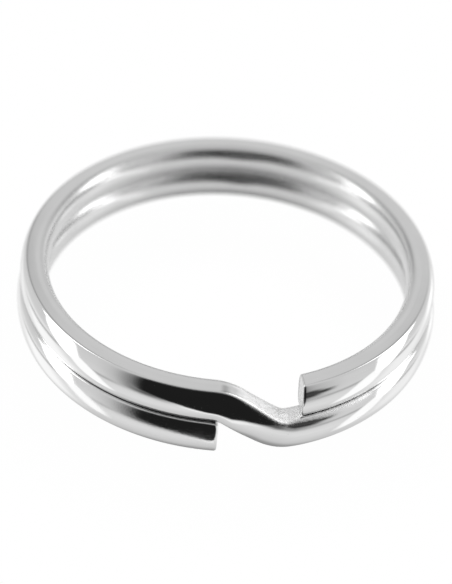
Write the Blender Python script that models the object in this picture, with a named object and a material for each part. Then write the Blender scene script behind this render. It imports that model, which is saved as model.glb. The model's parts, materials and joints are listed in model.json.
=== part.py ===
"""Split key ring: one springy, flattened wire wound twice round, one coil on top of the other.

Units are metres and +Z is up. The origin is the centre of the ring, midway between the coils.
Angles are in degrees from the front (-Y), counter-clockwise seen from above. The wire's angle
keeps growing past 360: from the upper free end it goes right, back and left, crosses down at
the front, and goes round once more to the lower free end.

The wire bends elastically, mostly by twisting, when a key is pushed between its coils. So it
is divided into seven rigid links: the crossover, and three quarter turns out to each free end.
Each link is hinged to the next about the wire's own direction.
"""

import math

import bmesh
import bpy
from mathutils import Vector

# Driving dimensions, metres
OUTER_DIAMETER = 0.0250  # over the lower coil, which is the wider one
WIRE_WIDTH = 0.0015  # measured along the ring's radius
WIRE_HEIGHT = 0.0020  # measured along the ring's axis
COIL_GAP = 0.00005  # between the upper and the lower coil
COIL_STEP = 0.00026  # how much smaller the upper coil's radius is
EDGE_WIDTH = 0.00036  # rounding of the wire's edges, along the radius
EDGE_HEIGHT = 0.00082  # rounding of the wire's edges, along the axis
END_CHAMFER = 0.00012  # broken edge round each free end
TIP_PINCH = 0.00010  # how far the lower tip is pressed down under the crossover
HINGE_SLIT = 0.00005  # between two links

# Driving angles, degrees
UPPER_END = 23.3
CROSSOVER_START = 358.4
CROSSOVER_END = 379.6
LOWER_END = 720.3
LINK_ANGLE = 90.0
PINCH_ANGLE = 4.0  # length of the pressed stretch of the lower tip
CROSSOVER_EASE = 0.22  # share of the crossover that each of its two bends takes

# Fineness of the mesh
EDGE_STEPS = 3
COIL_STEP_ANGLE = 5.0
CROSSOVER_STEP_ANGLE = 2.5

# Bright nickel plate on spring steel
NICKEL_COLOUR = (0.79, 0.78, 0.76, 1.0)
COIL_ROUGHNESS = 0.10
CROSSOVER_ROUGHNESS = 0.22
END_ROUGHNESS = 0.14

# Names from each free end towards the crossover
UPPER_LINKS = ("upper_free_end", "upper_back", "upper_left")
LOWER_LINKS = ("lower_free_end", "lower_left", "lower_back")

COIL_PITCH = WIRE_HEIGHT + COIL_GAP
LOWER_RADIUS = (OUTER_DIAMETER - WIRE_WIDTH) / 2
SLIT_HALF_ANGLE = math.degrees(HINGE_SLIT / 2 / LOWER_RADIUS)


def clear_scene():
    for obj in list(bpy.data.objects):
        bpy.data.objects.remove(obj, do_unlink=True)


def descent(angle):
    """Share of the drop from the upper to the lower coil: two parabolic bends and a straight ramp."""
    share = (angle - CROSSOVER_START) / (CROSSOVER_END - CROSSOVER_START)
    share = min(max(share, 0.0), 1.0)
    steepness = 1 / (1 - CROSSOVER_EASE)
    if share < CROSSOVER_EASE:
        return steepness * share**2 / (2 * CROSSOVER_EASE)
    if share > 1 - CROSSOVER_EASE:
        return 1 - steepness * (1 - share) ** 2 / (2 * CROSSOVER_EASE)
    return steepness * (share - CROSSOVER_EASE / 2)


def wire_centre(angle):
    """Centre of the wire's section."""
    turn = math.radians(angle)
    low = descent(angle)
    radius = LOWER_RADIUS - COIL_STEP * (1 - low)
    return Vector((radius * math.sin(turn), -radius * math.cos(turn), COIL_PITCH * (0.5 - low)))


def section_axes(angle):
    """Outward and upward directions of the section, square to the wire."""
    turn = math.radians(angle)
    outward = Vector((math.sin(turn), -math.cos(turn), 0.0))
    small = 0.01
    along = (wire_centre(angle + small) - wire_centre(angle - small)).normalized()
    upward = outward.cross(along).normalized()
    return outward, upward


def section_outline(inset=0.0):
    """Points of a rectangle with elliptical corners, as offsets outward and upward."""
    half_width = WIRE_WIDTH / 2 - inset
    half_height = WIRE_HEIGHT / 2 - inset
    flat_width = half_width - EDGE_WIDTH
    flat_height = half_height - EDGE_HEIGHT
    points = []
    for corner in range(4):
        for step in range(EDGE_STEPS + 1):
            turn = math.radians(90 * (corner + step / EDGE_STEPS))
            side_out = 1 if corner in (0, 3) else -1
            side_up = 1 if corner in (0, 1) else -1
            across = side_out * flat_width + EDGE_WIDTH * math.cos(turn)
            high = side_up * flat_height + EDGE_HEIGHT * math.sin(turn)
            points.append((across, high))
    return points


def pinch(angle):
    """How far the top of the wire is pressed down, growing towards the lower tip."""
    into = (angle - (LOWER_END - PINCH_ANGLE)) / PINCH_ANGLE
    return TIP_PINCH * max(into, 0.0) ** 2


def section_points(angle, inset, origin):
    centre = wire_centre(angle)
    outward, upward = section_axes(angle)
    lowered = 1 - pinch(angle) / (WIRE_HEIGHT / 2)
    points = []
    for across, high in section_outline(inset):
        if high > 0:
            high *= lowered
        points.append(centre + across * outward + high * upward - origin)
    return points


def link_stations(start, end, step_angle):
    """Angles of the sections along a link, each with its inset, which breaks the edges of a free end."""
    chamfer_angle = math.degrees(END_CHAMFER / LOWER_RADIUS)
    first = start + chamfer_angle if start == UPPER_END else start
    last = end - chamfer_angle if end == LOWER_END else end
    steps = math.ceil((last - first) / step_angle)
    stations = [(first + (last - first) * i / steps, 0.0) for i in range(steps + 1)]
    if first != start:
        stations.insert(0, (start, END_CHAMFER))
    if last != end:
        stations.append((end, END_CHAMFER))
    return stations


def link_mesh(name, start, end, step_angle, origin):
    """Closed, swept length of the wire, with its vertices measured from the origin given."""
    shape = bmesh.new()
    rings = []
    for angle, inset in link_stations(start, end, step_angle):
        rings.append([shape.verts.new(p) for p in section_points(angle, inset, origin)])
    for near, far in zip(rings, rings[1:]):
        for i in range(len(near)):
            j = (i + 1) % len(near)
            shape.faces.new((near[i], near[j], far[j], far[i]))
    shape.faces.new(rings[0])
    shape.faces.new(reversed(rings[-1]))
    bmesh.ops.recalc_face_normals(shape, faces=shape.faces)
    mesh = bpy.data.meshes.new(name)
    shape.to_mesh(mesh)
    shape.free()
    mesh.shade_smooth()
    mesh.set_sharp_from_angle(angle=math.radians(40))
    return mesh


def nickel(name, roughness):
    material = bpy.data.materials.new(name)
    material.use_nodes = True
    shader = material.node_tree.nodes["Principled BSDF"]
    shader.inputs["Base Color"].default_value = NICKEL_COLOUR
    shader.inputs["Metallic"].default_value = 1.0
    shader.inputs["Roughness"].default_value = roughness
    return material


def add_link(name, start, end, origin, parent, roughness, step_angle=COIL_STEP_ANGLE):
    """One link as an object whose origin is its hinge, under the link that it is hinged to."""
    mesh = link_mesh(name, start, end, step_angle, origin)
    mesh.materials.append(nickel(name + "_nickel", roughness))
    link = bpy.data.objects.new(name, mesh)
    bpy.context.scene.collection.objects.link(link)
    link.parent = parent
    link.location = origin
    node = parent
    while node:
        link.location -= node.location
        node = node.parent
    return link


def add_arm(names, end, direction, crossover):
    """Links of one arm, from the crossover out to the free end. Direction is +1 where the angle
    grows from the free end towards the crossover."""
    parent = crossover
    for number in reversed(range(len(names))):
        hinge = end + direction * LINK_ANGLE * (number + 1)
        near = hinge - direction * SLIT_HALF_ANGLE
        far = end + direction * (LINK_ANGLE * number + (SLIT_HALF_ANGLE if number else 0.0))
        roughness = COIL_ROUGHNESS if number else END_ROUGHNESS
        parent = add_link(
            names[number], min(near, far), max(near, far), wire_centre(hinge), parent, roughness
        )


def build_ring():
    arm_angle = LINK_ANGLE * len(UPPER_LINKS)
    crossover = add_link(
        "crossover",
        UPPER_END + arm_angle + SLIT_HALF_ANGLE,
        LOWER_END - arm_angle - SLIT_HALF_ANGLE,
        Vector((0.0, 0.0, 0.0)),
        None,
        CROSSOVER_ROUGHNESS,
        CROSSOVER_STEP_ANGLE,
    )
    add_arm(UPPER_LINKS, UPPER_END, 1, crossover)
    add_arm(LOWER_LINKS, LOWER_END, -1, crossover)


clear_scene()
build_ring()
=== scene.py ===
import json
import math
from collections import namedtuple

import bmesh
import bpy
import numpy as np
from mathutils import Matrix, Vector, noise


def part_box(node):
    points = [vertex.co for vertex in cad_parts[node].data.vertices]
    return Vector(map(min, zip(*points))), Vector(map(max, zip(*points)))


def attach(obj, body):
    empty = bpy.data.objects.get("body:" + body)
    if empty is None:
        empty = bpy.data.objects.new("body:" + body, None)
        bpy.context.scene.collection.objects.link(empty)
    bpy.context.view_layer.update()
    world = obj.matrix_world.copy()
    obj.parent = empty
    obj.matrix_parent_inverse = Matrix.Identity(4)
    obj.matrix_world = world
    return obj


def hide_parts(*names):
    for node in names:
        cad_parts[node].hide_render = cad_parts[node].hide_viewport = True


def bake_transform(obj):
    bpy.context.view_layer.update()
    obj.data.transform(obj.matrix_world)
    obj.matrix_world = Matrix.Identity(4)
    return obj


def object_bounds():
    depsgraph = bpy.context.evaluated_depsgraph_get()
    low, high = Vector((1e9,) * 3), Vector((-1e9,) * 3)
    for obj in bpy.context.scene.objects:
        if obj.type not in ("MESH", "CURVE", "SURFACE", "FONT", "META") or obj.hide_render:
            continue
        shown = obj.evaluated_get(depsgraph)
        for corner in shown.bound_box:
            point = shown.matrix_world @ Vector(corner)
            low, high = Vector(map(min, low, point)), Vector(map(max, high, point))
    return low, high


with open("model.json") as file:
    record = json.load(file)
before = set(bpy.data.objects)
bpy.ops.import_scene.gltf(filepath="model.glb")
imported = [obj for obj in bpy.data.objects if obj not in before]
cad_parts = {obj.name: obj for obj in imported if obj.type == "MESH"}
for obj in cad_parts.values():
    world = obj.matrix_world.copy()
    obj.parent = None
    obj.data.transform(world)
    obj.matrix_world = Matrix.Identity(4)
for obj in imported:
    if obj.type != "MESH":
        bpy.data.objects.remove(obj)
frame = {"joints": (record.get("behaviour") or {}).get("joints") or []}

# The ring is one springy wire. Angles along it are in degrees from the front (-Y),
# counter-clockwise seen from above, and they keep growing from the upper free end, round the
# upper coil, down the crossover at the front, and round the lower coil to the lower free end.

MM = 0.001
JOINTS = {joint["name"]: joint for joint in frame["joints"]}
CAD_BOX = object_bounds()


# ---------------------------------------------------------------- sizes read from the frame


def coil_radius(joint_name):
    """Radius of a coil's centre line, from a hinge on it."""
    x, y, _ = JOINTS[joint_name]["pos_m"]
    return math.hypot(x, y)


def hinge_angle(joint_name, turns):
    """Angle of a hinge along the wire, after that many whole turns."""
    x, y, _ = JOINTS[joint_name]["pos_m"]
    return math.degrees(math.atan2(x, -y)) % 360 + 360 * turns


UPPER_RADIUS = coil_radius("upper_opening")
LOWER_RADIUS = coil_radius("lower_opening")
UPPER_HINGES = [
    hinge_angle("upper_right_twist", 0),
    hinge_angle("upper_opening", 0),
    hinge_angle("upper_left_twist", 0),
]
LOWER_HINGES = [
    hinge_angle("lower_right_twist", 1),
    hinge_angle("lower_opening", 1),
    hinge_angle("lower_left_twist", 1),
]
LINK_ANGLE = UPPER_HINGES[1] - UPPER_HINGES[0]
SHEARED_TIP = 0.9  # angle by which the sheared upper tip sticks out past its link
UPPER_END = UPPER_HINGES[0] - LINK_ANGLE - SHEARED_TIP
LOWER_END = LOWER_HINGES[2] + LINK_ANGLE
UPPER_LEVEL = JOINTS["upper_opening"]["pos_m"][2]
LOWER_LEVEL = JOINTS["lower_opening"]["pos_m"][2]
WIRE_HEIGHT = 2 * (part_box("upper_left")[1].z - UPPER_LEVEL)
WIRE_WIDTH = 2 * (-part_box("upper_left")[0].x - UPPER_RADIUS)

# ---------------------------------------------------------------- shape of the wire

CROSSOVER_START = 358.4
CROSSOVER_END = 379.6
CROSSOVER_EASE = 0.30  # share of the crossover that each of its two bends takes
UPPER_ROLL = 1.0  # how far the outer side is tipped up, degrees
LOWER_ROLL = -3.5
PRESSED_ROLL = -10.0  # extra roll where the tool pressed the foot of the crossover
PRESSED_ANGLE = 373.5
PRESSED_SPREAD = 5.5
END_ROUNDING = 0.14 * MM
END_SKEW = 13.5  # how far the upper cut leans, so that its outer edge is the longer one
END_FADE = 6.0  # angle over which that lean fades out
TIP_PINCH = 0.10 * MM  # how far the lower tip is pressed down under the crossover
PINCH_ANGLE = 4.0

# The section has a flat top and bottom and two bulging sides. Each half of a side is a curve that
# starts upright at the side's widest level and meets the flat, further in, at a crease.
Side = namedtuple("Side", "widest_level top_inset top_slope bottom_inset bottom_slope")
OUTER_SIDE = Side(-0.24 * MM, 0.33 * MM, 37, 0.14 * MM, 22)
INNER_SIDE = Side(0.20 * MM, 0.64 * MM, 84, 0.33 * MM, 35)

INNER_SWELL = 0.15 * MM  # the inner side thickens as the wire is coiled

OUTLINE_POINTS = 128
CREASE_PASSES = 3  # rounds of smoothing over the section's corners
SIDE_STEPS = 24
ROUNDING_STEPS = 6
COIL_STEP = 0.75
CROSSOVER_STEP = 0.3
SMALL_ANGLE = 0.01  # for slopes


def descent(angle):
    """Share of the drop between the coils: two parabolic bends and a straight ramp."""
    share = np.clip((angle - CROSSOVER_START) / (CROSSOVER_END - CROSSOVER_START), 0, 1)
    steep = 1 / (1 - CROSSOVER_EASE)
    first = steep * share**2 / (2 * CROSSOVER_EASE)
    last = 1 - steep * (1 - share) ** 2 / (2 * CROSSOVER_EASE)
    ramp = steep * (share - CROSSOVER_EASE / 2)
    return np.where(share < CROSSOVER_EASE, first, np.where(share > 1 - CROSSOVER_EASE, last, ramp))


def centre_line(angle):
    """Centre of the wire's section."""
    turn = np.radians(angle)
    low = descent(angle)
    radius = UPPER_RADIUS + (LOWER_RADIUS - UPPER_RADIUS) * low
    level = UPPER_LEVEL + (LOWER_LEVEL - UPPER_LEVEL) * low
    return np.stack([radius * np.sin(turn), -radius * np.cos(turn), level], -1)


def section_frame(angle):
    """Outward, upward and forward directions of the section, rolled about the wire."""
    turn = np.radians(angle)
    level = np.stack([np.sin(turn), -np.cos(turn), np.zeros_like(turn)], -1)
    forward = centre_line(angle + SMALL_ANGLE) - centre_line(angle - SMALL_ANGLE)
    forward /= np.linalg.norm(forward, axis=-1, keepdims=True)
    square = np.cross(level, forward)
    pressed = np.exp(-(((angle - PRESSED_ANGLE) / PRESSED_SPREAD) ** 2))
    roll = UPPER_ROLL + (LOWER_ROLL - UPPER_ROLL) * descent(angle) + PRESSED_ROLL * pressed
    roll = np.radians(roll)[..., None]
    outward = level * np.cos(roll) + square * np.sin(roll)
    upward = square * np.cos(roll) - level * np.sin(roll)
    return outward, upward, forward


def half_side(height, inset, slope):
    """Curve from a side's widest point to its crease, as (inward, away from that level) pairs."""
    knee = max(height - inset / math.tan(math.radians(slope)), 0)
    share = np.linspace(0, 1, SIDE_STEPS + 1)[:, None]
    return 2 * share * (1 - share) * (0, knee) + share**2 * (inset, height)


def side_curve(side):
    """A side from its bottom crease to its top crease, as (inward, up) pairs."""
    top = half_side(WIRE_HEIGHT / 2 - side.widest_level, side.top_inset, side.top_slope)
    bottom = half_side(WIRE_HEIGHT / 2 + side.widest_level, side.bottom_inset, side.bottom_slope)
    return np.concatenate([bottom[:0:-1] * (1, -1), top]) + (0, side.widest_level)


def section_outline():
    """The section's outline, evenly spaced, from the outer bottom crease up and over: (out, up)."""
    outer = side_curve(OUTER_SIDE) * (-1, 1) + (WIRE_WIDTH / 2, 0)
    inner = side_curve(INNER_SIDE)[::-1] - (WIRE_WIDTH / 2 + INNER_SWELL, 0)
    loop = np.concatenate([outer, inner, outer[:1]])
    travelled = np.concatenate([[0], np.cumsum(np.linalg.norm(np.diff(loop, axis=0), axis=1))])
    stations = np.linspace(0, travelled[-1], OUTLINE_POINTS, endpoint=False)
    points = np.stack([np.interp(stations, travelled, loop[:, axis]) for axis in (0, 1)], -1)
    for _ in range(CREASE_PASSES):
        points = (np.roll(points, 1, axis=0) + 2 * points + np.roll(points, -1, axis=0)) / 4
    tangents = np.roll(points, -1, axis=0) - np.roll(points, 1, axis=0)
    normals = tangents[:, ::-1] * (1, -1)
    return points, normals / np.linalg.norm(normals, axis=1, keepdims=True)


OUTLINE, OUTLINE_NORMALS = section_outline()
OUTLINE_STEP = np.linalg.norm(OUTLINE[1] - OUTLINE[0])


def crease_shares():
    """How sharply the section turns at each of its points, from 0 to 1."""
    before = np.roll(OUTLINE_NORMALS, 1, axis=0)
    after = np.roll(OUTLINE_NORMALS, -1, axis=0)
    turn = np.linalg.norm(after - before, axis=1)
    return (turn / turn.max()) ** 2


CREASES = crease_shares()


def pinch(angle):
    """How far the top of the wire is pressed down, growing towards the lower tip."""
    into = (angle - (LOWER_END - PINCH_ANGLE)) / PINCH_ANGLE
    return TIP_PINCH * np.maximum(into, 0) ** 2


def surface(angles, insets):
    """Grid of points of the wire's skin, one row of section points for each angle and inset."""
    centre = centre_line(angles)[:, None, :]
    outward, upward, forward = (v[:, None, :] for v in section_frame(angles))
    flat = OUTLINE[None] + (relief(angles) - insets[:, None])[..., None] * OUTLINE_NORMALS[None]
    across, up = flat[..., :1], flat[..., 1:]
    lowered = 1 - pinch(angles)[:, None, None] / (WIRE_HEIGHT / 2)
    up = np.where(up > 0, up * lowered, up)
    fade = np.clip(1 - (angles - UPPER_END) / END_FADE, 0, 1)[:, None, None] ** 2
    lean = -across * math.tan(math.radians(END_SKEW)) * fade
    return centre + across * outward + up * upward + lean * forward


# ---------------------------------------------------------------- worked skin

WAVE_DEPTH = 0.004 * MM  # slow waviness left by rolling and coiling
WAVE_LENGTH = 5.0 * MM
WAVE_WIDTH = 0.8 * MM
MARK_DEPTH = 0.005 * MM  # tool marks where the crossover was pressed
MARK_GRAIN = 0.16 * MM
MARK_LENGTH = 0.24 * MM
MARK_START = 364.0
MARK_END = 402.0
MARK_FADE = 5.0
MARK_SLOPE_FROM = 0.35  # the upward share of the skin's direction where the marks fade in
MARK_SLOPE_TO = 0.70
WORN_FROM = 60.0  # angle before the lower free end where its worn stretch begins
WORN_TO = 25.0
CUT_RINGS = 10
CUT_CROWN = 0.02 * MM  # how far a cut face swells at its middle
CUT_DEPTH = 0.016 * MM  # roughness of a torn face
CUT_GRAIN = 0.18 * MM
TORN_BORDER = 0.12 * MM  # half the width of the change from smooth to torn


def smooth_step(value, low, high):
    share = np.clip((value - low) / (high - low), 0, 1)
    return share * share * (3 - 2 * share)


def tooling(angles):
    """How strongly each point of the skin was marked by the forming tool, from 0 to 1."""
    along = smooth_step(angles, MARK_START - MARK_FADE, MARK_START + MARK_FADE)
    along *= 1 - smooth_step(angles, MARK_END - MARK_FADE, MARK_END + MARK_FADE)
    facing_up = smooth_step(OUTLINE_NORMALS[:, 1], MARK_SLOPE_FROM, MARK_SLOPE_TO)
    return along[:, None] * facing_up[None]


def wear(angles):
    """How much each row was handled, from 0 to 1. Keys and nails lift the lower tip."""
    return smooth_step(angles, LOWER_END - WORN_FROM, LOWER_END - WORN_TO)


def skin_place(angles):
    """Distance along the wire, and place in its section, of each point of the skin, in metres."""
    along = np.radians(angles) * LOWER_RADIUS
    place = np.empty((len(angles), len(OUTLINE), 3))
    place[..., 0] = along[:, None]
    place[..., 1:] = OUTLINE[None]
    return place


def grain(place, length, width):
    """Smooth noise from -1 to 1 that is drawn out along the wire."""
    scaled = (place / (length, width, width)).reshape(-1, 3)
    values = [noise.noise(Vector(spot)) for spot in scaled]
    return np.array(values).reshape(place.shape[:2])


def relief(angles):
    """Height of the skin above the plain section."""
    place = skin_place(angles)
    height = WAVE_DEPTH * grain(place, WAVE_LENGTH, WAVE_WIDTH)
    marks = tooling(angles)
    worked = np.flatnonzero(marks.max(axis=1))
    if len(worked):
        rough = grain(place[worked], MARK_LENGTH, MARK_GRAIN)
        height[worked] += MARK_DEPTH * marks[worked] * rough
    return height


# ---------------------------------------------------------------- meshes

END_FACES = 2


def add_object(name, data):
    made = bpy.data.objects.new(name, data)
    bpy.context.scene.collection.objects.link(made)
    return made


def free_end_rows(end, direction):
    """Angles and insets of a rounded free end, from the full section to the rim of the cut."""
    turn = np.linspace(0, math.pi / 2, ROUNDING_STEPS + 1)
    radius = LOWER_RADIUS if direction > 0 else UPPER_RADIUS
    back = np.degrees(END_ROUNDING * (1 - np.sin(turn)) / radius)
    return end - direction * back, END_ROUNDING * (1 - np.cos(turn))


def piece_rows(first, last, step):
    """Angles and insets of a piece's rows, and how many ghost rows lie past each seam. A ghost row
    only serves to work out the normals at the seam."""
    start = first
    stop = last
    before = ([first - step], [0])
    after = ([last + step], [0])
    if first == UPPER_END:
        end_angles, end_insets = free_end_rows(UPPER_END, -1)
        start = end_angles[0]
        before = (end_angles[:0:-1], end_insets[:0:-1])
    if last == LOWER_END:
        end_angles, end_insets = free_end_rows(LOWER_END, 1)
        stop = end_angles[0]
        after = (end_angles[1:], end_insets[1:])
    count = math.ceil((stop - start) / step)
    angles = np.concatenate([before[0], np.linspace(start, stop, count + 1), after[0]])
    insets = np.concatenate([before[1], np.zeros(count + 1), after[1]])
    return angles, insets, int(first != UPPER_END), int(last != LOWER_END)


def grid_normals(points):
    """Outward normals of a grid of points that closes on itself around the wire."""
    along = np.gradient(points, axis=0)
    around = np.roll(points, -1, axis=1) - np.roll(points, 1, axis=1)
    normals = np.cross(along, around)
    return normals / np.linalg.norm(normals, axis=-1, keepdims=True)


def cut_face(rim, place, forward, smooth_below):
    """Rings that close a free end, from its rim to a small last ring. Forward points out of the
    metal. The wire is sheared off, so the face is torn, or smooth below and torn above."""
    centre = rim.mean(axis=0)
    middle = place.mean(axis=0)
    shares = np.linspace(1, 0, CUT_RINGS + 2)[1:-1, None, None]
    places = middle + shares * (place - middle)
    torn = smooth_step(places[..., 2], -TORN_BORDER, TORN_BORDER) if smooth_below else 1.0
    height = CUT_CROWN * (1 - shares[..., 0] ** 2)
    height = height + CUT_DEPTH * torn * grain(places, CUT_GRAIN, CUT_GRAIN)
    return centre + shares * (rim - centre) + height[..., None] * forward, places


def closed_faces(rows, count):
    """The two last rings' own faces, and the quads of the grid between them."""
    faces = [tuple(range(count)), tuple(range((rows - 1) * count, rows * count))[::-1]]
    for row in range(rows - 1):
        low = row * count
        high = low + count
        for spot in range(count):
            following = (spot + 1) % count
            faces.append((low + spot, high + spot, high + following, low + following))
    return faces


def add_wire(name, first, last, step, slot):
    """One stretch of the wire as a closed mesh. Its shading runs on smoothly past each seam."""
    angles, insets, ghosts_before, ghosts_after = piece_rows(first, last, step)
    points = surface(angles, insets)
    place = skin_place(angles)
    marks = tooling(angles)
    _, _, forward = section_frame(angles)
    cut = np.zeros(len(angles))
    if not ghosts_before:
        rings, places = cut_face(points[0], place[0], -forward[0], False)
        points = np.concatenate([rings[::-1], points])
        place = np.concatenate([places[::-1], place])
        cut = np.concatenate([np.ones(len(rings)), cut])
    if not ghosts_after:
        rings, places = cut_face(points[-1], place[-1], forward[-1], True)
        points = np.concatenate([points, rings])
        place = np.concatenate([place, places])
        cut = np.concatenate([cut, np.ones(len(rings))])
    closing = (0 if ghosts_before else CUT_RINGS, 0 if ghosts_after else CUT_RINGS)
    marks = np.pad(marks, (closing, (0, 0)))
    worn = np.pad(wear(angles), closing, mode="edge")
    normals = grid_normals(points)
    keep = slice(ghosts_before, len(points) - ghosts_after)
    points, normals, place = points[keep], normals[keep], place[keep]
    marks, cut, worn = marks[keep], cut[keep], worn[keep]
    rows, count = points.shape[:2]
    mesh = bpy.data.meshes.new(name)
    mesh.from_pydata(points.reshape(-1, 3).tolist(), [], closed_faces(rows, count))
    mesh.materials.append(METALS[slot])
    lay_out(mesh, place / MM, count)
    add_values(mesh, "tooling", marks)
    add_values(mesh, "cut", np.repeat(cut, count))
    add_values(mesh, "worn", np.repeat(worn, count))
    add_values(mesh, "crease", np.tile(CREASES, rows))
    mesh.shade_smooth()
    mesh.normals_split_custom_set_from_vertices(normals.reshape(-1, 3).tolist())
    piece = add_object(name, mesh)
    return piece


def add_values(mesh, name, values):
    """A number at each vertex, for the material to read."""
    mesh.attributes.new(name, "FLOAT", "POINT").data.foreach_set("value", np.ravel(values))


def lay_out(mesh, place, count):
    """The skin's own coordinates, and UVs along the wire and around its section, in millimetres."""
    around = np.arange(count + 1) * OUTLINE_STEP / MM
    layer = mesh.uv_layers.new(name="wire")
    for polygon in mesh.polygons:
        for loop in polygon.loop_indices:
            row, spot = divmod(mesh.loops[loop].vertex_index, count)
            last_quad = polygon.index >= END_FACES and (polygon.index - END_FACES + 1) % count == 0
            wraps = spot == 0 and last_quad
            layer.data[loop].uv = (place[row, spot, 0], around[count if wraps else spot])
    mesh.attributes.new("place", "FLOAT_VECTOR", "POINT").data.foreach_set("vector", place.ravel())


# ---------------------------------------------------------------- shader nodes


class Graph:
    """Builds a node tree. A value is a number or the output of another node."""

    def __init__(self, owner):
        owner.use_nodes = True
        self.tree = owner.node_tree
        self.tree.nodes.clear()

    def node(self, kind, values=(), **settings):
        """Adds a node with its inputs filled in order, or by name if the values are a dict."""
        made = self.tree.nodes.new(kind)
        for name, setting in settings.items():
            setattr(made, name, setting)
        named = values.items() if isinstance(values, dict) else enumerate(values)
        for name, value in named:
            if isinstance(value, bpy.types.NodeSocket):
                self.tree.links.new(value, made.inputs[name])
            else:
                made.inputs[name].default_value = value
        return made

    def maths(self, operation, *values):
        return self.node("ShaderNodeMath", values, operation=operation).outputs[0]

    def smooth(self, value, low, high):
        """0 below low, 1 above high and a smooth step between."""
        settings = {"interpolation_type": "SMOOTHSTEP"}
        return self.node("ShaderNodeMapRange", (value, low, high, 0, 1), **settings).outputs[0]

    def band(self, value, centre, half_width, softness):
        """1 within the band and 0 outside, with soft borders."""
        away = self.maths("ABSOLUTE", self.maths("SUBTRACT", value, centre))
        outside = self.smooth(away, half_width - softness, half_width + softness)
        return self.maths("SUBTRACT", 1, outside)

    def mix(self, share, first, second):
        """Between two numbers."""
        return self.node("ShaderNodeMapRange", (share, 0, 1, first, second)).outputs[0]

    def total(self, *values):
        result = values[0]
        for value in values[1:]:
            result = self.maths("ADD", result, value)
        return result

    def times(self, *values):
        result = values[0]
        for value in values[1:]:
            result = self.maths("MULTIPLY", result, value)
        return result

    def attribute(self, name):
        """A number kept at the mesh's vertices."""
        return self.node("ShaderNodeAttribute", attribute_name=name).outputs["Fac"]

    def stretch(self, place, size):
        shares = tuple(1 / length for length in size)
        return self.node("ShaderNodeVectorMath", (place, shares), operation="MULTIPLY").outputs[0]

    def cloud(self, place, size, detail=2.0):
        """Noise from about 0.2 to 0.8 with features of that size."""
        values = {"Vector": self.stretch(place, size), "Scale": 1.0, "Detail": detail}
        return self.node("ShaderNodeTexNoise", values).outputs["Fac"]

    def gradient(self, value, stops):
        """Piecewise linear curve through the (value, height) stops, from 0 to 1 each way."""
        ramp = self.node("ShaderNodeValToRGB", (value,))
        elements = ramp.color_ramp.elements
        while len(elements) < len(stops):
            elements.new(1)
        for element, (place, height) in zip(elements, stops):
            element.position = place
            element.color = (height, height, height, 1)
        return ramp.outputs[0]


# ---------------------------------------------------------------- material

# Lengths in the material are millimetres. They are in the order along the wire, across it, up.
STREAK = (7.0, 0.07, 0.07)  # drawing lines
STREAK_HEIGHT = 0.0003
PEEL = (0.45, 0.22, 0.22)  # slight orange peel of the plate
PEEL_HEIGHT = 0.0007
SATIN = (0.09, 0.07, 0.07)  # grain left by the forming tool and by wear
SATIN_HEIGHT = 0.015
PLAIN_SATIN_HEIGHT = 0.0005
WORN_SATIN_HEIGHT = 0.0026
TEAR = (0.12, 0.05, 0.35)
TEAR_HEIGHT = 0.006
PATCHES = (1.6, 0.9, 0.9)
HAIRLINE = (3.0, 0.5, 0.5)
HAIRLINE_SPOTS = (5.0, 1.0, 1.0)
HAIRLINE_WIDTH = 0.008
HAIRLINE_DEPTH = 0.0006
PIT_SPACING = (0.8, 0.8, 0.8)
PIT_RADIUS = 0.05  # as a share of the spacing
PIT_DEPTH = 0.002
PIT_CHANCE = 0.4
INSIDE_START = -0.30  # the inner side is wrinkled a little by the coiling, so it is rougher; its colour is also darkened there as painted shade
INSIDE_END = -0.55

# Roughness. A pair is from the lowest to the highest part of the noise, or from plain to worn.
BASE_ROUGHNESS = (0.03, 0.07)
PATCH_ROUGHNESS = (0.02, 0.09)
PRESSED_ROUGHNESS = (0.24, 0.46)
CUT_ROUGHNESS = (0.22, 0.45)
STREAK_ROUGHNESS = 0.04
CREASE_ROUGHNESS = 0.06
INSIDE_ROUGHNESS = 0.16
HAIRLINE_ROUGHNESS = 0.12
PIT_ROUGHNESS = 0.2

# Grey level of the metal, and what each kind of working adds to it, with painted shade on the inner
# side and a painted highlight on the pressed satin
TONE = 0.82
PATCH_TONE = 0.06
STREAK_TONE = 0.05
PIT_TONE = -0.25
CUT_TONE = 0.04
# painted shade: the inner side is darkened, standing for the shaded floor that it reflects
INSIDE_PAINTED_SHADE = -0.10
# painted highlight: the pressed satin at the foot of the crossover is brightened, and mottled by
# its grain
PRESSED_PAINTED_HIGHLIGHT = 0.28
PAINTED_HIGHLIGHT_GRAIN = 1.4


def hairline_scratches(graph, place):
    """Thin lines along the contours of a noise, in a few spots only."""
    noise_level = graph.maths("SUBTRACT", graph.cloud(place, HAIRLINE, 0.0), 0.5)
    away = graph.maths("ABSOLUTE", noise_level)
    line = graph.maths("SUBTRACT", 1, graph.smooth(away, 0, HAIRLINE_WIDTH))
    somewhere = graph.smooth(graph.cloud(place, HAIRLINE_SPOTS, 0.0), 0.55, 0.62)
    return graph.times(line, somewhere)


def pits(graph, place):
    """Small round hollows, at some of the cells of a Voronoi pattern."""
    values = {"Vector": graph.stretch(place, PIT_SPACING), "Scale": 1.0}
    cells = graph.node("ShaderNodeTexVoronoi", values)
    lot = graph.node("ShaderNodeSeparateColor", (cells.outputs["Color"],)).outputs[0]
    chosen = graph.maths("GREATER_THAN", lot, 1 - PIT_CHANCE)
    hollow = graph.maths("SUBTRACT", 1, graph.smooth(cells.outputs["Distance"], 0, PIT_RADIUS))
    return graph.times(hollow, chosen)


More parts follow.
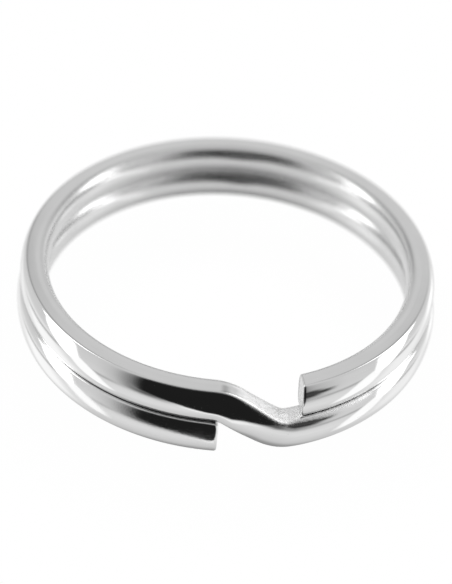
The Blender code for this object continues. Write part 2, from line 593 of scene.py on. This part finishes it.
def nickel(name):
    """Bright nickel plate on drawn wire, rougher where the tools pressed and sheared it. Its colour
    also holds painted shade on the inner side and a painted highlight where the tools pressed.
    """
    material = bpy.data.materials.new(name)
    graph = Graph(material)
    place = graph.node("ShaderNodeAttribute", attribute_name="place").outputs["Vector"]
    cut = graph.attribute("cut")
    crease = graph.attribute("crease")
    worn = graph.attribute("worn")
    across = graph.node("ShaderNodeSeparateXYZ", (place,)).outputs[1]
    inside = graph.smooth(across, INSIDE_START, INSIDE_END)
    patches = graph.cloud(place, PATCHES, 3.0)
    # where the tool pressed: rougher and grainier, and in its colour a painted highlight
    pressed = graph.times(graph.attribute("tooling"), graph.smooth(patches, 0.25, 0.6))
    streaks = graph.cloud(place, STREAK, 3.0)
    peel = graph.cloud(place, PEEL)
    satin = graph.cloud(place, SATIN, 4.0)
    tear = graph.cloud(place, TEAR, 3.0)
    hairline = hairline_scratches(graph, place)
    pit = pits(graph, place)

    height = graph.total(
        graph.times(streaks, STREAK_HEIGHT),
        graph.times(peel, PEEL_HEIGHT),
        graph.times(satin, pressed, SATIN_HEIGHT),
        graph.times(satin, graph.mix(worn, PLAIN_SATIN_HEIGHT, WORN_SATIN_HEIGHT)),
        graph.times(tear, cut, TEAR_HEIGHT),
        graph.times(hairline, -HAIRLINE_DEPTH),
        graph.times(pit, -PIT_DEPTH),
    )
    bump = graph.node("ShaderNodeBump", {"Height": height, "Distance": MM, "Strength": 1.0})
    roughness = graph.total(
        graph.mix(worn, *BASE_ROUGHNESS),
        graph.times(graph.smooth(streaks, 0.35, 0.75), STREAK_ROUGHNESS),
        graph.times(crease, CREASE_ROUGHNESS),
        graph.times(inside, INSIDE_ROUGHNESS),
        graph.times(pressed, graph.mix(satin, *PRESSED_ROUGHNESS)),
        graph.times(cut, graph.mix(tear, *CUT_ROUGHNESS)),
        graph.times(hairline, HAIRLINE_ROUGHNESS),
        graph.times(pit, PIT_ROUGHNESS),
        graph.times(graph.smooth(patches, 0.4, 0.7), graph.mix(worn, *PATCH_ROUGHNESS)),
    )
    tone = graph.total(
        TONE,
        graph.times(graph.maths("SUBTRACT", patches, 0.5), PATCH_TONE),
        graph.times(graph.maths("SUBTRACT", streaks, 0.5), STREAK_TONE),
        graph.times(pit, PIT_TONE),
        graph.times(cut, CUT_TONE),
        # painted shade on the inner side
        graph.times(inside, INSIDE_PAINTED_SHADE),
        # painted highlight on the pressed satin, mottled by its grain
        graph.times(pressed, PRESSED_PAINTED_HIGHLIGHT),
        graph.times(pressed, graph.maths("SUBTRACT", satin, 0.5), PAINTED_HIGHLIGHT_GRAIN),
    )
    colour = graph.node("ShaderNodeCombineColor", (tone, tone, tone)).outputs[0]
    shader = graph.node(
        "ShaderNodeBsdfPrincipled",
        {"Base Color": colour, "Metallic": 1.0, "Roughness": roughness, "Normal": bump.outputs[0]},
    )
    graph.node("ShaderNodeOutputMaterial", (shader.outputs[0],))
    return material


# The three share one recipe. What a mesh keeps at its vertices makes them look different.
METALS = {slot: nickel(slot) for slot in ("bright_nickel", "tooled_nickel", "cut_nickel")}


# ---------------------------------------------------------------- pieces


def add_bending_wire(name, first, last, node, slot):
    """A stretch of wire across one hinge, from the middle of one link to the next."""
    piece = add_wire(name, first, last, COIL_STEP, slot)
    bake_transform(piece)
    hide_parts(node)


def add_crossover(first, last):
    piece = add_wire("crossover_wire", first, last, CROSSOVER_STEP, "tooled_nickel")
    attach(piece, "crossover")
    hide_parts("crossover")


def build_ring():
    half = LINK_ANGLE / 2
    first, second, third = UPPER_HINGES
    fourth, fifth, sixth = LOWER_HINGES
    add_bending_wire(
        "upper_end_wire", UPPER_END, first + half,
        "upper_free_end", "cut_nickel",
    )
    add_bending_wire(
        "upper_back_wire", first + half, second + half,
        "upper_back", "bright_nickel",
    )
    add_bending_wire(
        "upper_left_wire", second + half, third + half,
        "upper_left", "bright_nickel",
    )
    add_crossover(third + half, fourth - half)
    add_bending_wire(
        "lower_right_wire", fourth - half, fifth - half,
        "lower_back", "bright_nickel",
    )
    add_bending_wire(
        "lower_back_wire", fifth - half, sixth - half,
        "lower_left", "bright_nickel",
    )
    add_bending_wire(
        "lower_end_wire", sixth - half, LOWER_END,
        "lower_free_end", "cut_nickel",
    )


# ---------------------------------------------------------------- stage

CAMERA_ELEVATION = 39.53
CAMERA_DISTANCE = 84.84 * MM
CAMERA_ROLL = 4.11
LENS = 87.38
SHIFT_X = -0.00214
SHIFT_Y = -0.02466
F_STOP = 45.0
FOCUS_REACH = 7.3 * MM  # the sharp plane's distance in front of the ring's centre
FLOOR_SIZE = 4.0
FLOOR_DROP = 3.2 * MM  # room below the ring for the lower free end to swing down
SHADE_REACH = 6 * MM
SHADED_FLOOR = 0.965  # brightness of the floor in full shade
SHADE_EDGE = 40 * MM  # past this distance the shade fades out, before the floor meets the tent
TENT_RADIUS = 80 * MM
TENT_SEGMENTS = 128
DEGREES = math.degrees(1)

# The tent's wall, as (share of the way from straight down to straight up, brightness)
WALL = (
    (0.0, 0.27),
    (0.09, 0.38),
    (0.155, 0.66),
    (0.28, 0.85),
    (0.40, 0.75),
    (0.60, 0.71),
    (0.86, 0.66),
    (1.0, 0.60),
)

# Areas of the tent. Degrees. The low border rises to both sides of its middle by that slope.
Area = namedtuple("Area", "azimuth half_width soft_side low soft_low high soft_high slope level")
AREAS = (
    Area(140, 16, 8, -2, 10, 24, 8, 0.0, 0.95),
    Area(128, 8, 5, -30, 6, -12, 6, 0.0, 1.3),
    Area(-131, 6, 5, -38, 6, -20, 6, 0.0, 1.0),
    Area(-104, 17, 10, -52, 8, -21, 8, 0.0, 1.12),
    Area(106, 17, 10, -47, 8, -19, 8, 0.0, 1.02),
    Area(0, 49, 12, -28, 6, 66, 8, 0.0, 0.47),
    Area(-2, 36, 4, -46, 2, -12, 4, 0.7, 1.05),
    Area(-2, 40, 8, -34, 5, 56, 12, 0.2, 0.12),
    Area(-83, 34, 8, -28, 3, -24, 3, 0.0, 0.45),
    Area(76, 34, 8, -26, 3, -22, 3, 0.0, 0.45),
    Area(-3, 34, 3.5, -41, 1.5, 36, 9, 0.7, 0.014),
    Area(38, 8, 4, -18, 4, 0, 4, 0.0, 0.03),
    Area(44, 8, 4, -13, 3, -5, 3, 0.0, 0.06),
    Area(-150, 8, 7, 20, 14, 62, 8, 0.0, 0.34),
    Area(150, 8, 7, 40, 6, 62, 8, 0.0, 0.34),
)
# Oval lights. Degrees: lean backwards, depth behind the ring's middle, and rise from the floor.
Light = namedtuple("Light", "side lean depth rise half_width half_height softness level")
LIGHTS = (
    Light(-1, 6, -9, -2, 11, 28, 0.35, 2.4),
    Light(1, 6, -3, 0, 10.5, 28, 0.35, 2.4),
    Light(-1, 16, -5, 32, 8, 34, 0.25, 2.6),
    Light(1, 16, 3, 32, 8, 34, 0.25, 2.6),
    Light(-1, 6, -14, -34, 9, 22, 0.4, 1.2),
    Light(1, 6, -8, -34, 9, 22, 0.4, 1.2),
)


def add_focus(camera):
    """A point between the ring's centre and the camera. The near side is sharp from any angle."""
    focus = add_object("focus", None)
    follow = focus.constraints.new("COPY_LOCATION")
    follow.target = camera
    reach = focus.constraints.new("LIMIT_DISTANCE")
    reach.target = add_object("centre", None)
    reach.distance = FOCUS_REACH
    reach.limit_mode = "LIMITDIST_ONSURFACE"
    return focus


def add_camera():
    camera = add_object("camera", bpy.data.cameras.new("camera"))
    tilt = math.radians(CAMERA_ELEVATION)
    back = Vector((0, -math.cos(tilt), math.sin(tilt)))
    camera.location = back * CAMERA_DISTANCE
    camera.rotation_euler = (-back).to_track_quat("-Z", "Y").to_euler()
    camera.rotation_euler.rotate_axis("Z", math.radians(CAMERA_ROLL))
    camera.data.lens = LENS
    camera.data.shift_x = SHIFT_X
    camera.data.shift_y = SHIFT_Y
    camera.data.clip_start = MM
    camera.data.dof.use_dof = True
    camera.data.dof.focus_object = add_focus(camera)
    camera.data.dof.aperture_fstop = F_STOP
    bpy.context.scene.camera = camera


def add_floor():
    """A white floor, lit until it is nearly blank, with a trace of shade under the ring."""
    side = FLOOR_SIZE / 2
    level = CAD_BOX[0].z - FLOOR_DROP
    outline = ((-side, -side), (side, -side), (side, side), (-side, side))
    corners = [(x, y, level) for x, y in outline]
    mesh = bpy.data.meshes.new("floor")
    mesh.from_pydata(corners, [], [(0, 1, 2, 3)])
    material = bpy.data.materials.new("floor")
    graph = Graph(material)
    openness = graph.node("ShaderNodeAmbientOcclusion", {"Distance": SHADE_REACH}).outputs["AO"]
    place = graph.node("ShaderNodeNewGeometry").outputs["Position"]
    away = graph.node("ShaderNodeVectorMath", (place,), operation="LENGTH").outputs["Value"]
    bare = graph.smooth(away, SHADE_EDGE, TENT_RADIUS - SHADE_REACH)
    openness = graph.maths("MAXIMUM", openness, bare)
    glow = graph.node("ShaderNodeEmission", {"Strength": graph.mix(openness, SHADED_FLOOR, 1.0)})
    graph.node("ShaderNodeOutputMaterial", (glow.outputs[0],))
    mesh.materials.append(material)
    floor = add_object("floor", mesh)
    floor.visible_glossy = False


def add_tent():
    """A light tent round the ring, seen only in its reflections."""
    mesh = bpy.data.meshes.new("tent")
    shape = bmesh.new()
    bmesh.ops.create_uvsphere(
        shape, u_segments=TENT_SEGMENTS, v_segments=TENT_SEGMENTS // 2, radius=TENT_RADIUS
    )
    shape.to_mesh(mesh)
    shape.free()
    material = bpy.data.materials.new("tent")
    graph = Graph(material)
    glow = graph.node("ShaderNodeEmission", {"Strength": tent_brightness(graph)})
    graph.node("ShaderNodeOutputMaterial", (glow.outputs[0],))
    material.cycles.emission_sampling = "NONE"
    mesh.materials.append(material)
    tent = add_object("tent", mesh)
    tent.visible_camera = False


def area_mask(graph, area, azimuth, elevation):
    away = graph.maths("ABSOLUTE", graph.maths("SUBTRACT", azimuth, area.azimuth))
    above = graph.maths("SUBTRACT", elevation, graph.times(away, area.slope))
    return graph.times(
        graph.band(azimuth, area.azimuth, area.half_width, area.soft_side),
        graph.smooth(above, area.low - area.soft_low, area.low + area.soft_low),
        graph.smooth(elevation, area.high + area.soft_high, area.high - area.soft_high),
    )


def light_mask(graph, light, direction):
    values = {"Vector": direction, "Angle": math.radians(light.lean)}
    leaned = graph.node("ShaderNodeVectorRotate", values, rotation_type="X_AXIS").outputs[0]
    x, y, z = graph.node("ShaderNodeSeparateXYZ", (leaned,)).outputs
    depth = graph.maths("MULTIPLY", graph.maths("ARCSINE", y), DEGREES)
    sideways = graph.maths("MULTIPLY", x, light.side)
    rise = graph.maths("MULTIPLY", graph.maths("ARCTAN2", z, sideways), DEGREES)
    away = graph.maths("DIVIDE", graph.maths("SUBTRACT", depth, light.depth), light.half_width)
    high = graph.maths("DIVIDE", graph.maths("SUBTRACT", rise, light.rise), light.half_height)
    reach = graph.maths("SQRT", graph.total(graph.times(away, away), graph.times(high, high)))
    return graph.smooth(reach, 1 + light.softness, 1 - light.softness)


def tent_brightness(graph):
    """Brightness of the tent's wall in each direction from the ring. Azimuth 0 is the front."""
    place = graph.node("ShaderNodeNewGeometry").outputs["Position"]
    direction = graph.node("ShaderNodeVectorMath", (place,), operation="NORMALIZE").outputs[0]
    x, y, z = graph.node("ShaderNodeSeparateXYZ", (direction,)).outputs
    forward = graph.maths("MULTIPLY", y, -1)
    azimuth = graph.maths("MULTIPLY", graph.maths("ARCTAN2", x, forward), DEGREES)
    elevation = graph.maths("MULTIPLY", graph.maths("ARCSINE", z), DEGREES)
    height = graph.node("ShaderNodeMapRange", (elevation, -90, 90, 0, 1)).outputs[0]
    brightness = graph.gradient(height, WALL)
    for area in AREAS:
        mask = area_mask(graph, area, azimuth, elevation)
        brightness = graph.mix(mask, brightness, area.level)
    for light in LIGHTS:
        mask = light_mask(graph, light, direction)
        brightness = graph.maths("MAXIMUM", brightness, graph.times(mask, light.level))
    return brightness


def add_world():
    world = bpy.data.worlds.new("studio")
    bpy.context.scene.world = world
    world.use_nodes = True
    world.node_tree.nodes["Background"].inputs["Color"].default_value = (1, 1, 1, 1)


bpy.context.scene.view_settings.view_transform = "Standard"
build_ring()
add_camera()
add_floor()
add_tent()
add_world()
